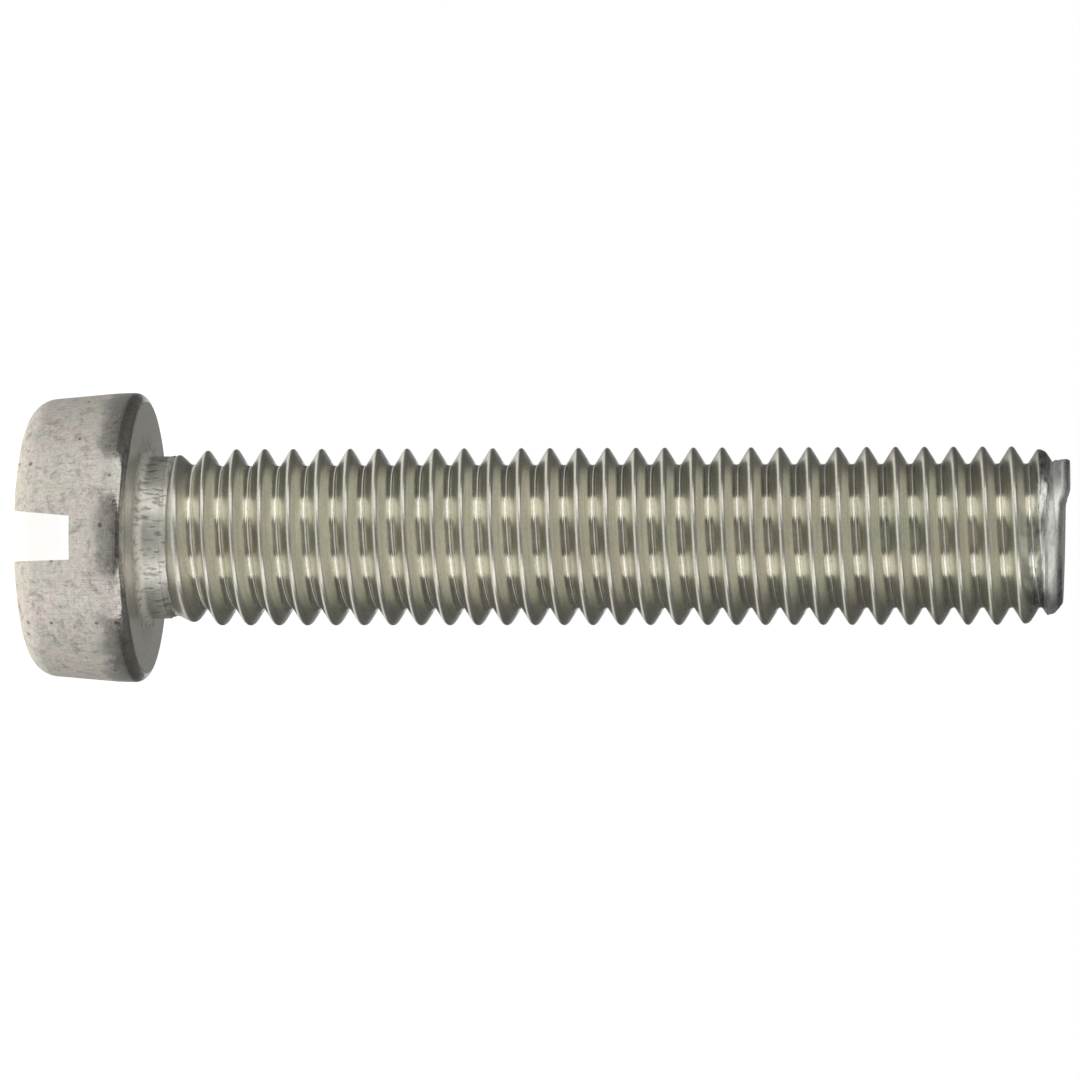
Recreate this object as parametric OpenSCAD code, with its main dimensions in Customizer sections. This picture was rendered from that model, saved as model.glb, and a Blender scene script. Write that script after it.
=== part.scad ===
// Slotted cheese-head machine screw, M8 x 40, fully threaded, rolled right-hand thread
// Frame in mm: the bearing face under the head lies in z = 0 with its centre at the origin,
// the shank runs along +z to the tip, the head lies below z = 0, and the driver slot runs along y.

/* [Head] */
// height of the head from the bearing face to the slotted end
head_h = 5; // [3.6:0.1:6]
// diameter of the head at the bearing face, where the tapered side would meet it
head_d = 12.75; // [11:0.05:16]
// slope of the head's side on each side
head_taper = 5; // [0:0.5:8]
// rounding of the slotted end's edge
top_round = 1.15; // [0.3:0.05:1.6]
// rounding of the rim beside the bearing face
rim_round = 0.5; // [0.2:0.05:0.8]
// fillet between the bearing face and the neck
neck_fillet = 0.4; // [0.2:0.05:0.6]

/* [Slot] */
// width of the slot at its floor
slot_w = 1.88; // [1.2:0.04:2.6]
// depth of the slot from the slotted end
slot_depth = 2.6; // [1.6:0.1:3]
// slope of the slot's wall on the -x side
slot_draft_a = 5; // [0:0.5:8]
// slope of the slot's wall on the +x side
slot_draft_b = 2; // [0:0.5:8]
// rounding of the slot's edges at the slotted end
slot_lip = 0.25; // [0.05:0.05:0.4]
// rounding in the slot's corners at its floor
slot_corner = 0.15; // [0.05:0.05:0.3]

/* [Shank] */
// length under the head, from the bearing face to the tip
shank_l = 40.2; // [12:0.1:45]
// diameter of the plain neck, which is the blank's before rolling
neck_d = 7.1; // [6.9:0.02:7.3]
// length of the plain neck under the head
neck_l = 1.06; // [0.9:0.02:2.5]
// how much thinner the rolled blank is than the plain neck, all round
roll_step = 0.03; // [0.02:0.01:0.08]

/* [Thread] */
// distance from crest to crest
pitch = 1.25; // [1.1:0.05:1.5]
// diameter over the crests
crest_d = 7.7; // [7.5:0.02:7.88]
// diameter at the bottom of the grooves
root_d = 6.18; // [6.04:0.02:6.6]
// width of the flat on the crests, as a share of the pitch
crest_flat = 0.16; // [0.1:0.01:0.2]
// width of the groove's bottom, as a share of the pitch
root_flat = 0.12; // [0.08:0.01:0.16]
// where the crest crosses the -x side, as a share of the pitch
phase = 0.157; // [0:0.05:0.95]
// turns over which the crest rises to its full height
crest_run = 2.3; // [1:0.1:3]
// turns over which the groove sinks to its full depth
groove_run = 1.1; // [0.6:0.1:3]

/* [Tip] */
// diameter of the end face
tip_d = 6.6; // [6.2:0.02:6.9]
// slope of the cone that cuts the last crests off, against the axis
tip_cone = 18; // [12:0.5:40]
// lean of the sheared end, with the -x side longer
tip_lean = 1; // [0:0.2:3]
// how far the lip that shearing left on the -x side stands past the rest of the end
tip_lip = 0.2; // [0:0.05:0.4]
// how far the lip reaches in from the -x side before it slopes down
lip_reach = 1.1; // [0.4:0.1:1.6]
// width of the slope from the lip down to the rest of the end
lip_slope = 0.9; // [0.3:0.1:1.4]

/* [Hidden] */
$fn = 72;
per_turn = 4;
turns = ceil((shank_l - neck_l) / pitch);
around = max(20, min(36, 2 * floor(9600 / (4 * per_turn * turns))));
neck_r = neck_d / 2;
crest_r = crest_d / 2;
root_r = root_d / 2;
tip_r = tip_d / 2;
core_r = neck_r - roll_step;
overlap = 0.5;

function smooth(t) = let (u = max(0, min(1, t))) u * u * (3 - 2 * u);

// height of the leaning end, with its lip, above a point of the section
function end_z(x) =
    shank_l - (x + tip_r) * tan(tip_lean) - tip_lip * smooth((x + tip_r - lip_reach) / lip_slope);

// the cone that the last crests end at
function cone_r(z, x) = tip_r + (end_z(x) - z) * tan(tip_cone);

// shares of the full crest and of the full groove reached at a height
function crest_share(z) = smooth((z / pitch - 0.6) / crest_run);
function groove_share(z) = smooth((z / pitch - 0.85) / groove_run);

// radius of crest and groove bottom at a height, before the tip's cone
function crest_at(z) = core_r + crest_share(z) * (crest_r - core_r);
function root_at(z) = core_r - groove_share(z) * (core_r - root_r);

// One point of the thread's flanks. Column i stands at its own angle, and g counts the points along it:
// two at a crest, then two at a groove's bottom, and a pitch higher up the same again.
function thread_point(i, g) =
    let (
        a = 360 * i / around,
        turn = floor(g / per_turn),
        which = g - per_turn * turn,
        mid = pitch * (turn + phase + i / around - 0.5 + (which > 1 ? 0.5 : 0)),
        cut = cone_r(mid, crest_r * cos(a)),
        high = min(crest_at(mid), cut),
        low = min(root_at(mid), cut),
        half_c = min(0.2, crest_flat / 2 + max(0, crest_r - high) * tan(30) / pitch),
        half_r = min(0.26, root_flat / 2 + max(0, low - root_r) * tan(30) / pitch),
        z = mid + pitch * (which > 1 ? half_r : half_c) * (which % 2 == 0 ? -1 : 1),
        r = min(which > 1 ? low : high, cone_r(z, (which > 1 ? low : high) * cos(a)))
    ) [r * cos(a), r * sin(a), z];

// radius of the full thread at an angle's share of a turn and a height
function flank_r(share, z) =
    let (
        away = z / pitch - phase - share + 0.5,
        from_crest = abs(away - round(away))
    ) max(root_r, crest_r - max(0, from_crest - crest_flat / 2) * pitch * tan(60));

// point of the end face's outline in column i
function end_point(i) =
    let (
        a = 360 * i / around,
        r = min(tip_r, flank_r(i / around, end_z(tip_r * cos(a))))
    ) [r * cos(a), r * sin(a), end_z(r * cos(a))];

// The thread and the core inside it, as one closed surface. Its start is hidden in the neck.
module thread() {
    start_z = neck_l - overlap;
    count = [0 : per_turn * ceil(shank_l / pitch + 1)];
    grid = [for (i = [0 : around - 1]) [for (g = count) thread_point(i, g)]];
    first = [for (i = [0 : around - 1]) len([for (p = grid[i]) if (p[2] < start_z + 0.1) 1])];
    last = [for (i = [0 : around - 1])
        len([for (p = grid[i]) if (p[2] < end_z(tip_r * cos(360 * i / around)) - 0.1) 1]) - 1];
    kept = [for (i = [0 : around - 1]) last[i] - first[i] + 1];
    before = [for (i = 0, sum = 0; i <= around; sum = sum + (i < around ? kept[i] : 0), i = i + 1) sum];
    ring = before[around];
    points = concat(
        [for (i = [0 : around - 1]) for (g = [first[i] : last[i]]) grid[i][g]],
        [for (i = [0 : around - 1]) [core_r * cos(360 * i / around), core_r * sin(360 * i / around), start_z]],
        [for (i = [0 : around - 1]) end_point(i)],
        [[0, 0, start_z], [0, 0, end_z(0)]]
    );
    at = function (i, g) before[i] + g - first[i];
    start_at = function (i) ring + i;
    end_at = function (i) ring + around + i;
    start_mid = ring + 2 * around;
    end_mid = start_mid + 1;
    faces = [for (i = [0 : around - 1])
        let (
            j = (i + 1) % around,
            // past the last column the same groove stands a pitch higher up
            s = j == 0 ? per_turn : 0,
            low = max(first[i], first[j] - s),
            high = min(last[i], last[j] - s)
        )
        each concat(
            [[start_mid, start_at(i), start_at(j)]],
            [[start_at(i), at(i, first[i]), at(j, first[j])], [start_at(i), at(j, first[j]), start_at(j)]],
            [for (g = [first[i] : 1 : low - 1]) [at(i, g), at(i, g + 1), at(j, low + s)]],
            [for (g = [first[j] - s : 1 : low - 1]) [at(i, low), at(j, g + 1 + s), at(j, g + s)]],
            [for (g = [low : 1 : high - 1]) [at(i, g), at(i, g + 1), at(j, g + 1 + s)]],
            [for (g = [low : 1 : high - 1]) [at(i, g), at(j, g + 1 + s), at(j, g + s)]],
            [for (g = [high : 1 : last[i] - 1]) [at(i, g), at(i, g + 1), at(j, high + s)]],
            [for (g = [high : 1 : last[j] - s - 1]) [at(i, high), at(j, g + 1 + s), at(j, g + s)]],
            [[at(i, last[i]), end_at(i), end_at(j)], [at(i, last[i]), end_at(j), at(j, last[j])]],
            [[end_mid, end_at(j), end_at(i)]]
        )];
    polyhedron(points = points, faces = faces, convexity = 10);
}

// outline of the head and the neck, turned about the axis
module blank_outline() {
    rim_r = head_d / 2;
    side = tan(head_taper);
    // centres of the two convex roundings, each touching the tapered side and a flat end
    rim_x = rim_r - rim_round * side - rim_round / cos(head_taper);
    top_x = rim_r - (head_h - top_round) * side - top_round / cos(head_taper);
    difference() {
        union() {
            polygon([
                [0, -head_h],
                [top_x, -head_h],
                [top_x + top_round * cos(head_taper), -head_h + top_round - top_round * sin(head_taper)],
                [rim_x + rim_round * cos(head_taper), -rim_round - rim_round * sin(head_taper)],
                [rim_x, 0],
                [neck_r + neck_fillet, 0],
                [neck_r, neck_fillet],
                [neck_r, neck_l],
                [0, neck_l]
            ]);
            translate([top_x, -head_h + top_round])
                circle(r = top_round);
            translate([rim_x, -rim_round])
                circle(r = rim_round);
        }
        translate([neck_r + neck_fillet, neck_fillet])
            circle(r = neck_fillet);
    }
}

// points of an arc, from one direction to another
function arc(x, y, r, a0, a1, n) = [for (q = [0 : n]) [x + r * cos(a0 + (a1 - a0) * q / n), y + r * sin(a0 + (a1 - a0) * q / n)]];

// One wall of the slot from its floor to the slotted end, leaning out by its draft, with y = 0 at the floor.
function slot_wall(draft) =
    let (
        corner_x = slot_w / 2 - slot_corner * tan(45 - draft / 2),
        mouth_x = slot_w / 2 + slot_depth * tan(draft),
        lip_x = mouth_x + slot_lip * tan(45 - draft / 2)
    ) concat(
        arc(corner_x, slot_corner, slot_corner, -90, -draft, 4),
        arc(lip_x, slot_depth - slot_lip, slot_lip, 180 - draft, 90, 5),
        [[lip_x, slot_depth + 1]]
    );

// section of the slot, with the floor at y = 0 and open towards +y
module slot_section() {
    wall_a = slot_wall(slot_draft_a);
    wall_b = slot_wall(slot_draft_b);
    polygon(concat(wall_a, [for (q = [len(wall_b) - 1 : -1 : 0]) [-wall_b[q][0], wall_b[q][1]]]));
}

// the head and the neck, with the slot cut right through the head along y
module blank() {
    difference() {
        rotate_extrude()
            blank_outline();
        translate([0, -head_d, slot_depth - head_h])
            rotate([-90, 0, 0])
                mirror([1, 0, 0])
                    linear_extrude(height = 2 * head_d)
                        slot_section();
    }
}

module screw() {
    color("#B9B5AC") {
        blank();
        thread();
    }
}

screw();
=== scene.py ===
"""Slotted cheese-head machine screw: its looks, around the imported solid."""

import math

import bmesh
import bpy
from bpy.props import FloatProperty, FloatVectorProperty, IntProperty, PointerProperty
from mathutils import Matrix, Vector


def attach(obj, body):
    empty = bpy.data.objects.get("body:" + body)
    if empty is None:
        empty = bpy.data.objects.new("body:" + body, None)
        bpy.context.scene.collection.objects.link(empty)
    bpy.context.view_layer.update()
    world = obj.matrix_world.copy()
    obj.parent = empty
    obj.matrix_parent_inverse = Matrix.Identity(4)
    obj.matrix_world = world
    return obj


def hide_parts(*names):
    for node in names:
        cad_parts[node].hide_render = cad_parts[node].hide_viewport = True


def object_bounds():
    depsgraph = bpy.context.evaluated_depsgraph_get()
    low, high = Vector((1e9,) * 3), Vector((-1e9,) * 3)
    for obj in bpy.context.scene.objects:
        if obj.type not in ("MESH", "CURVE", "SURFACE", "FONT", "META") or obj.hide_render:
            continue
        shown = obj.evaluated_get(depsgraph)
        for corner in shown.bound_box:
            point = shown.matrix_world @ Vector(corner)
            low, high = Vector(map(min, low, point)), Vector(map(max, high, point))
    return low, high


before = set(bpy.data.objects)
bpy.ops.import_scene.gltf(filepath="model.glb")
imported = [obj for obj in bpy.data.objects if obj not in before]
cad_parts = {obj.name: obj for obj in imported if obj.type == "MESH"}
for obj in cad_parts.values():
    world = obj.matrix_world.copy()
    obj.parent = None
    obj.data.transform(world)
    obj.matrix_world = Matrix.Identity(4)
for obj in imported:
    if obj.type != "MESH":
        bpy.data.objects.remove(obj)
CAD_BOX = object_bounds()

bl_info = {
    "name": "Slotted Machine Screw",
    "version": (1, 0, 0),
    "blender": (4, 5, 0),
    "location": "View3D > Sidebar > Screw",
    "description": "A slotted cheese-head machine screw with a rolled thread, and a plain studio",
    "category": "Object",
}

MM = 0.001
DEG = math.pi / 180
# the photograph's width and height in pixels
IMAGE_W = 1080
# points closer than this are one
TINY = 1e-8


def linear(hex_colour):
    """An sRGB hex colour as a linear RGBA value."""
    channels = [int(hex_colour[i:i + 2], 16) / 255 for i in (1, 3, 5)]
    return [c / 12.92 if c <= 0.04045 else ((c + 0.055) / 1.055) ** 2.4 for c in channels] + [1.0]


def add(tree, kind, links=None, out=0, **settings):
    """Adds a node with its settings, and gives one of its outputs, or the node where out is None.
    links gives each input, by name or number, a socket or a value."""
    node = tree.nodes.new(kind)
    for key, value in settings.items():
        setattr(node, key, value)
    for key, value in (links or {}).items():
        if isinstance(value, bpy.types.NodeSocket):
            tree.links.new(value, node.inputs[key])
        else:
            node.inputs[key].default_value = value
    return node if out is None else node.outputs[out]


def follow(tree, known, rule):
    """Adds the nodes of a rule. Each line of it is a result, what is done, and to what. A name is a value or
    socket in known, where results go too. LINEAR and SMOOTHSTEP take a value from one range, stated by its
    ends, to another, or to 0 to 1. MIX has its factor first, and NOISE the three parts of a place."""
    for name, operation, *terms in rule:
        terms = [known[t] if isinstance(t, str) else t for t in terms]
        links = dict(enumerate(terms))
        if operation in ("LINEAR", "SMOOTHSTEP"):
            result = add(tree, "ShaderNodeMapRange", links, label=name, interpolation_type=operation)
        elif operation == "MIX":
            factor, low, high = terms
            result = add(tree, "ShaderNodeMix", {0: factor, 2: low, 3: high}, label=name, data_type="FLOAT")
        elif operation == "NOISE":
            point = add(tree, "ShaderNodeCombineXYZ", links)
            result = add(tree, "ShaderNodeTexNoise", {"Vector": point, "Scale": NOISE_SCALE}, label=name)
        else:
            result = add(tree, "ShaderNodeMath", links, label=name, operation=operation)
        known[name] = result


class ScrewSizes(bpy.types.PropertyGroup):
    """Sizes of the screw: the solid's own, and those of its finer forms."""

    head_h: FloatProperty(
        name="Head Height", description="From the bearing face to the slotted end",
        default=5.0 * MM, unit="LENGTH")
    head_d: FloatProperty(
        name="Head Diameter", description="Where the tapered side would meet the bearing face",
        default=12.745 * MM, unit="LENGTH")
    head_taper: FloatProperty(
        name="Head Taper", description="Slope of the head's side",
        default=5 * DEG, subtype="ANGLE")
    side_blend: FloatProperty(
        name="Side Blend", description="Height beside the rim over which the side's slope fades out",
        default=1.0 * MM, unit="LENGTH")
    top_round: FloatProperty(
        name="Top Rounding", description="Rounding of the slotted end's edge",
        default=1.15 * MM, unit="LENGTH")
    rim_round: FloatProperty(
        name="Rim Rounding", description="Rounding of the rim beside the bearing face",
        default=0.5 * MM, unit="LENGTH")
    neck_fillet: FloatProperty(
        name="Neck Fillet", description="Fillet between the bearing face and the neck",
        default=0.4 * MM, unit="LENGTH")
    slot_w: FloatProperty(
        name="Slot Width", description="Width of the slot at its floor",
        default=1.88 * MM, unit="LENGTH")
    slot_depth: FloatProperty(
        name="Slot Depth", description="Depth of the slot from the slotted end",
        default=2.6 * MM, unit="LENGTH")
    slot_draft_a: FloatProperty(
        name="Slot Draft A", description="Slope of the slot's wall on the -x side",
        default=5 * DEG, subtype="ANGLE")
    slot_draft_b: FloatProperty(
        name="Slot Draft B", description="Slope of the slot's wall on the +x side",
        default=2 * DEG, subtype="ANGLE")
    slot_edge: FloatProperty(
        name="Slot Edge", description="Rounding of the slot's edges and corners",
        default=0.2 * MM, unit="LENGTH")
    shank_l: FloatProperty(
        name="Length", description="Length under the head",
        default=40.2 * MM, unit="LENGTH")
    neck_d: FloatProperty(
        name="Neck Diameter", description="Diameter of the plain neck",
        default=7.1 * MM, unit="LENGTH")
    neck_l: FloatProperty(
        name="Neck Length", description="Length of the plain neck",
        default=1.06 * MM, unit="LENGTH")
    roll_step: FloatProperty(
        name="Rolling Step", description="How much thinner the rolled blank is than the neck",
        default=0.03 * MM, unit="LENGTH")
    die_mark: FloatProperty(
        name="Die Mark", description="Height of the fine ring that the rolling dies left under the thread",
        default=1.33 * MM, unit="LENGTH")
    pitch: FloatProperty(
        name="Pitch", description="Distance from crest to crest",
        default=1.25 * MM, unit="LENGTH")
    crest_d: FloatProperty(
        name="Crest Diameter", description="Diameter over the crests",
        default=7.7 * MM, unit="LENGTH")
    root_d: FloatProperty(
        name="Root Diameter", description="Diameter at the bottom of the grooves",
        default=6.22 * MM, unit="LENGTH")
    root_round: FloatProperty(
        name="Root Rounding", description="Rounding of the groove's bottom between the flanks",
        default=0.15 * MM, unit="LENGTH")
    flank_slope: FloatProperty(
        name="Flank Slope", description="Slope of the thread's flanks against a section across the axis",
        default=32 * DEG, subtype="ANGLE")
    crest_soft: FloatProperty(
        name="Crest Softness", description="Rounding of the crest's edges as a share of the thread's depth",
        default=0.22)
    phase: FloatProperty(
        name="Phase", description="Where the crest crosses the -x side, as a share of the pitch",
        default=0.157)
    crest_start: FloatProperty(
        name="Crest Start", description="Height at which the crest starts to rise, in pitches",
        default=0.4)
    crest_run: FloatProperty(
        name="Crest Run-in", description="Turns over which the crest rises to its full height",
        default=2.4)
    groove_start: FloatProperty(
        name="Groove Start", description="Height at which the groove starts to sink, in pitches",
        default=0.85)
    groove_run: FloatProperty(
        name="Groove Run-in", description="Turns over which the groove sinks to its full depth",
        default=1.1)
    tip_d: FloatProperty(
        name="Tip Diameter", description="Diameter of the end face",
        default=6.6 * MM, unit="LENGTH")
    tip_cone: FloatProperty(
        name="Tip Cone", description="Slope of the cone that cuts the last crests off",
        default=18 * DEG, subtype="ANGLE")
    tip_lean: FloatProperty(
        name="Tip Lean", description="Lean of the sheared end",
        default=1 * DEG, subtype="ANGLE")
    tip_lip: FloatProperty(
        name="Tip Lip", description="How far the lip on the -x side stands past the rest of the end",
        default=0.2 * MM, unit="LENGTH")
    lip_reach: FloatProperty(
        name="Lip Reach", description="How far the lip reaches in from the -x side",
        default=1.1 * MM, unit="LENGTH")
    lip_slope: FloatProperty(
        name="Lip Slope", description="Width of the slope from the lip to the rest of the end",
        default=0.9 * MM, unit="LENGTH")
    tip_edge: FloatProperty(
        name="Tip Edge", description="Rounding of the end face's edge, which is less on the -x side",
        default=0.16 * MM, unit="LENGTH")
    tip_collar: FloatProperty(
        name="Tip Collar", description="Length of the last stretch, which is nearly a cylinder",
        default=0.6 * MM, unit="LENGTH")
    tip_torn: FloatProperty(
        name="Torn Relief", description="Height of the torn streaks round the tip",
        default=0.1 * MM, unit="LENGTH")
    smear: FloatProperty(
        name="Tip Smear", description="How far from the end shearing closed the last groove",
        default=0.62 * MM, unit="LENGTH")
    smear_fall: FloatProperty(
        name="Smear Fall", description="Slope at which the closed groove opens again", default=1.2)
    tip_lumps: FloatProperty(
        name="Tip Lumps", description="Unevenness of the last crests, which shearing left",
        default=0.12 * MM, unit="LENGTH")
    columns: IntProperty(
        name="Columns", description="Faces round the axis", default=84)
    rows: IntProperty(
        name="Rows", description="Faces along the axis in each pitch", default=24)


class ScrewFinish(bpy.types.PropertyGroup):
    """Colours of the steel where it was headed, pressed, rolled and sheared."""

    headed: FloatVectorProperty(
        name="Headed Steel", description="Tumbled steel of the head",
        default=linear("#E2DAD2"), size=4, subtype="COLOR")
    headed_pale: FloatVectorProperty(
        name="Headed Steel, Green", description="Greenish patches in the head's skin",
        default=linear("#DDDACF"), size=4, subtype="COLOR")
    pressed: FloatVectorProperty(
        name="Pressed Steel", description="Steel of the neck and the bearing face",
        default=linear("#E0DDD3"), size=4, subtype="COLOR")
    rolled: FloatVectorProperty(
        name="Rolled Steel", description="Burnished steel of the thread, where it looks olive",
        default=linear("#D9D8C9"), size=4, subtype="COLOR")
    rolled_warm: FloatVectorProperty(
        name="Rolled Steel, Warm", description="Burnished steel of the thread, where it looks pinkish",
        default=linear("#DBD7C9"), size=4, subtype="COLOR")
    sheared: FloatVectorProperty(
        name="Sheared Steel", description="Pale torn steel of the tip",
        default=linear("#EEEFE8"), size=4, subtype="COLOR")


class StudioSettings(bpy.types.PropertyGroup):
    """Floor, lamps and camera."""

    floor: FloatVectorProperty(
        name="Floor", description="Colour of the floor",
        default=linear("#FAFAFA"), size=4, subtype="COLOR")
    lamp_level: FloatProperty(
        name="Lamp Level", description="Brightness of the softboxes' faces", default=1.3)
    top_level: FloatProperty(
        name="Top Level", description="Brightness of the softbox overhead", default=0.25)
    room_level: FloatProperty(
        name="Room Level", description="Brightness of the room beside the screw", default=0.16)
    back_level: FloatProperty(
        name="Back Level", description="Brightness of the room behind the screw", default=0.12)
    fill_level: FloatProperty(
        name="Fill Level", description="Brightness of the room in front of the screw", default=0.38)
    # radius of the painted pool of light that the metal sees on the floor
    pool: FloatProperty(
        name="Pool of Light", description="How far round the screw the metal sees the floor as white",
        default=80 * MM, unit="LENGTH")
    camera_far: FloatProperty(
        name="Camera Distance", description="From the camera to the bearing face",
        default=279.6 * MM, unit="LENGTH")
    camera_lens: FloatProperty(
        name="Lens", description="Focal length in millimetres", default=213.2)


# Head: a turned outline with the slot cut through it.

# how far the neck and the slot's space run past the place where they end
SPARE = 1 * MM
# shares of the neck's step down to the rolled blank: it narrows by the first and ends the second lower
STEP_DOWN = 0.6
STEP_BACK = 0.3
# faces along each rounding
TOP_FACES = 14
BLEND_FACES = 6
RIM_FACES = 14
FILLET_FACES = 8
EDGE_FACES = 4
# edges that turn by more than the first are rounded, and by more than the second they look sharp
ROUNDED_ANGLE = 42 * DEG
SHARP_ANGLE = 38 * DEG
# how far below the bearing face the head's finish begins
RIM_SEAM = 0.02 * MM


def arc(cx, cy, r, a0, a1, n):
    """Points of an arc in the outline's plane, from one angle to another."""
    return [(cx + r * math.cos(a0 + (a1 - a0) * q / n), cy + r * math.sin(a0 + (a1 - a0) * q / n))
            for q in range(n + 1)]


def head_outline(s, end_z):
    """Radius and height of the head and neck, from the slotted end to a height up the neck."""
    taper = s.head_taper
    neck_r = s.neck_d / 2
    # the rim is as wide as the solid's: its rounding touches the tapered side there
    rim_x = s.head_d / 2 - s.rim_round * math.tan(taper) - s.rim_round / math.cos(taper)
    side_r = rim_x + s.rim_round
    blend_r = s.side_blend / math.sin(taper)
    foot_r = side_r - blend_r * (1 - math.cos(taper))
    foot_z = -s.rim_round - s.side_blend
    top_z = s.top_round - s.head_h
    top_x = foot_r - (foot_z - top_z) * math.tan(taper) - s.top_round / math.cos(taper)
    fillet = s.neck_fillet
    outline = arc(top_x, top_z, s.top_round, -math.pi / 2, -taper, TOP_FACES)
    outline += arc(side_r - blend_r, -s.rim_round, blend_r, -taper, 0, BLEND_FACES)
    outline += arc(rim_x, -s.rim_round, s.rim_round, 0, math.pi / 2, RIM_FACES)[1:]
    outline += arc(neck_r + fillet, fillet, fillet, -math.pi / 2, -math.pi, FILLET_FACES)
    outline.append((neck_r - s.roll_step * STEP_DOWN, end_z))
    return outline


def turned(outline, columns):
    """A closed solid turned from an outline, with a flat end at either side."""
    bm = bmesh.new()
    rings = []
    for r, z in outline:
        rings.append([bm.verts.new((r * math.cos(a), r * math.sin(a), z))
                      for a in (2 * math.pi * i / columns for i in range(columns))])
    for low, high in zip(rings, rings[1:]):
        for i in range(columns):
            j = (i + 1) % columns
            bm.faces.new((low[i], low[j], high[j], high[i]))
    bm.faces.new(list(reversed(rings[0])))
    bm.faces.new(rings[-1])
    return bm


def slot_cutter(s):
    """The slot's own space, longer than the head is wide."""
    bm = bmesh.new()
    up = s.slot_depth + SPARE
    floor_z = s.slot_depth - s.head_h
    section = [
        (-s.slot_w / 2, floor_z),
        (-s.slot_w / 2 - up * math.tan(s.slot_draft_a), floor_z - up),
        (s.slot_w / 2 + up * math.tan(s.slot_draft_b), floor_z - up),
        (s.slot_w / 2, floor_z),
    ]
    ends = [[bm.verts.new((x, y, z)) for x, z in section] for y in (-s.head_d, s.head_d)]
    for i in range(len(section)):
        j = (i + 1) % len(section)
        bm.faces.new((ends[0][i], ends[0][j], ends[1][j], ends[1][i]))
    bm.faces.new(ends[0])
    bm.faces.new(list(reversed(ends[1])))
    bmesh.ops.recalc_face_normals(bm, faces=bm.faces)
    return bm


def as_object(bm, name):
    """Puts a bmesh into the scene as an object and frees it."""
    mesh = bpy.data.meshes.new(name)
    bm.to_mesh(mesh)
    bm.free()
    obj = bpy.data.objects.new(name, mesh)
    bpy.context.scene.collection.objects.link(obj)
    return obj


def evaluated_mesh(obj, name):
    """The object's mesh with its modifiers applied, as a plain mesh of its own."""
    bpy.context.view_layer.update()
    depsgraph = bpy.context.evaluated_depsgraph_get()
    mesh = bpy.data.meshes.new_from_object(obj.evaluated_get(depsgraph))
    mesh.name = name
    return mesh


def slotted_head(s):
    """The head with the slot cut and its edges rounded, and the neck, open where the thread starts.
    It has twice as many faces round the axis as the thread."""
    head = as_object(turned(head_outline(s, s.neck_l + SPARE), s.columns * 2), "head_blank")
    cutter = as_object(slot_cutter(s), "slot_space")
    cut = head.modifiers.new("slot", "BOOLEAN")
    cut.object = cutter
    cut.operation = "DIFFERENCE"
    cut.solver = "EXACT"
    edge = head.modifiers.new("slot_edges", "BEVEL")
    edge.width = s.slot_edge
    edge.segments = EDGE_FACES
    edge.limit_method = "ANGLE"
    edge.angle_limit = ROUNDED_ANGLE
    mesh = evaluated_mesh(head, "head")
    for obj in (head, cutter):
        bpy.data.objects.remove(obj)
    bm = bmesh.new()
    bm.from_mesh(mesh)
    bmesh.ops.bisect_plane(
        bm, geom=bm.verts[:] + bm.edges[:] + bm.faces[:], dist=TINY,
        plane_co=(0, 0, s.neck_l - s.roll_step * STEP_BACK), plane_no=(0, 0, 1), clear_outer=True)
    return bm


# Thread: a grid bent round the axis by a rule, so that its rows follow the helix.

# the fine ring that the dies left: how far it reaches to either side, and how deep it is
MARK_REACH = 0.09 * MM
MARK_DEPTH = 0.04 * MM
# half of how much further the collar stands out towards +x, and how steeply it opens past its length
COLLAR_OUT = 0.06 * MM
COLLAR_SLOPE = 2.0
# how softly the smear and the collar run into the rest, and the cone into the thread
SMEAR_BLEND = 0.1 * MM
CONE_BLEND = 0.2 * MM
# the torn streaks start and are full at these distances from the end, and stand out above this noise
TORN_START = 1.4 * MM
TORN_FULL = 0.7 * MM
TORN_LEVEL = 0.55
# patches of noise in each radius, and how many times as many in each pitch, in crests and torn streaks
NOISE_SCALE = 1.6
LUMPS_ALONG = 1.6
TORN_ALONG = 5.0
# the end edge's rounding has this added to the cosine of its angle, so that it is least on the -x side
EDGE_LEAST = 1.3
# how much of the radius the end face's rows come in by for each pitch of rows
FACE_IN = 1.6
# points closer than this are merged where the grid's sides meet and in the end face's middle
MERGE_REACH = 2e-6

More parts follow.
